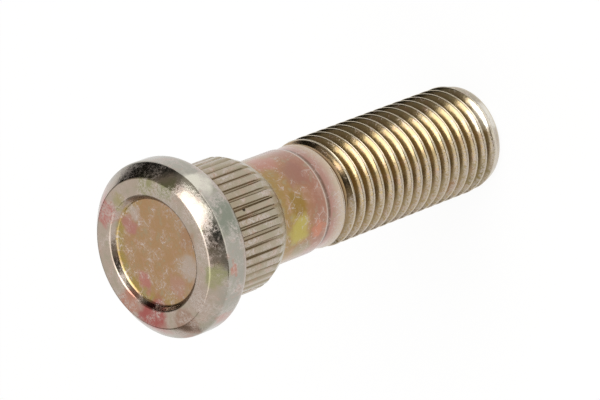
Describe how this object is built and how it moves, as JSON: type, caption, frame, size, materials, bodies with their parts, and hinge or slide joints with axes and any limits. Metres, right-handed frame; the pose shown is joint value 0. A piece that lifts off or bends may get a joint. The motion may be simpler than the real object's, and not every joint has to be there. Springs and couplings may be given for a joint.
{
  "type": "press-in wheel stud",
  "caption": "Press-in wheel stud: round head with a shallow recess, serrated collar, plain shank and a rolled right-hand fine thread, in yellow-passivated zinc plating.",
  "frame": {"origin": "centre of the flat threaded end, on the surface that it stands on", "axes": "+Z along the stud's axis from the threaded end to the head; X and Y are free"},
  "size_m": [0.0186, 0.0186, 0.048],
  "materials": {
    "zinc_plated_steel": "bright zinc plating with an iridescent yellow passivation, scuffed"
  },
  "bodies": {
    "root": {"wheel_stud": "zinc_plated_steel"}
  },
  "joints": []
}
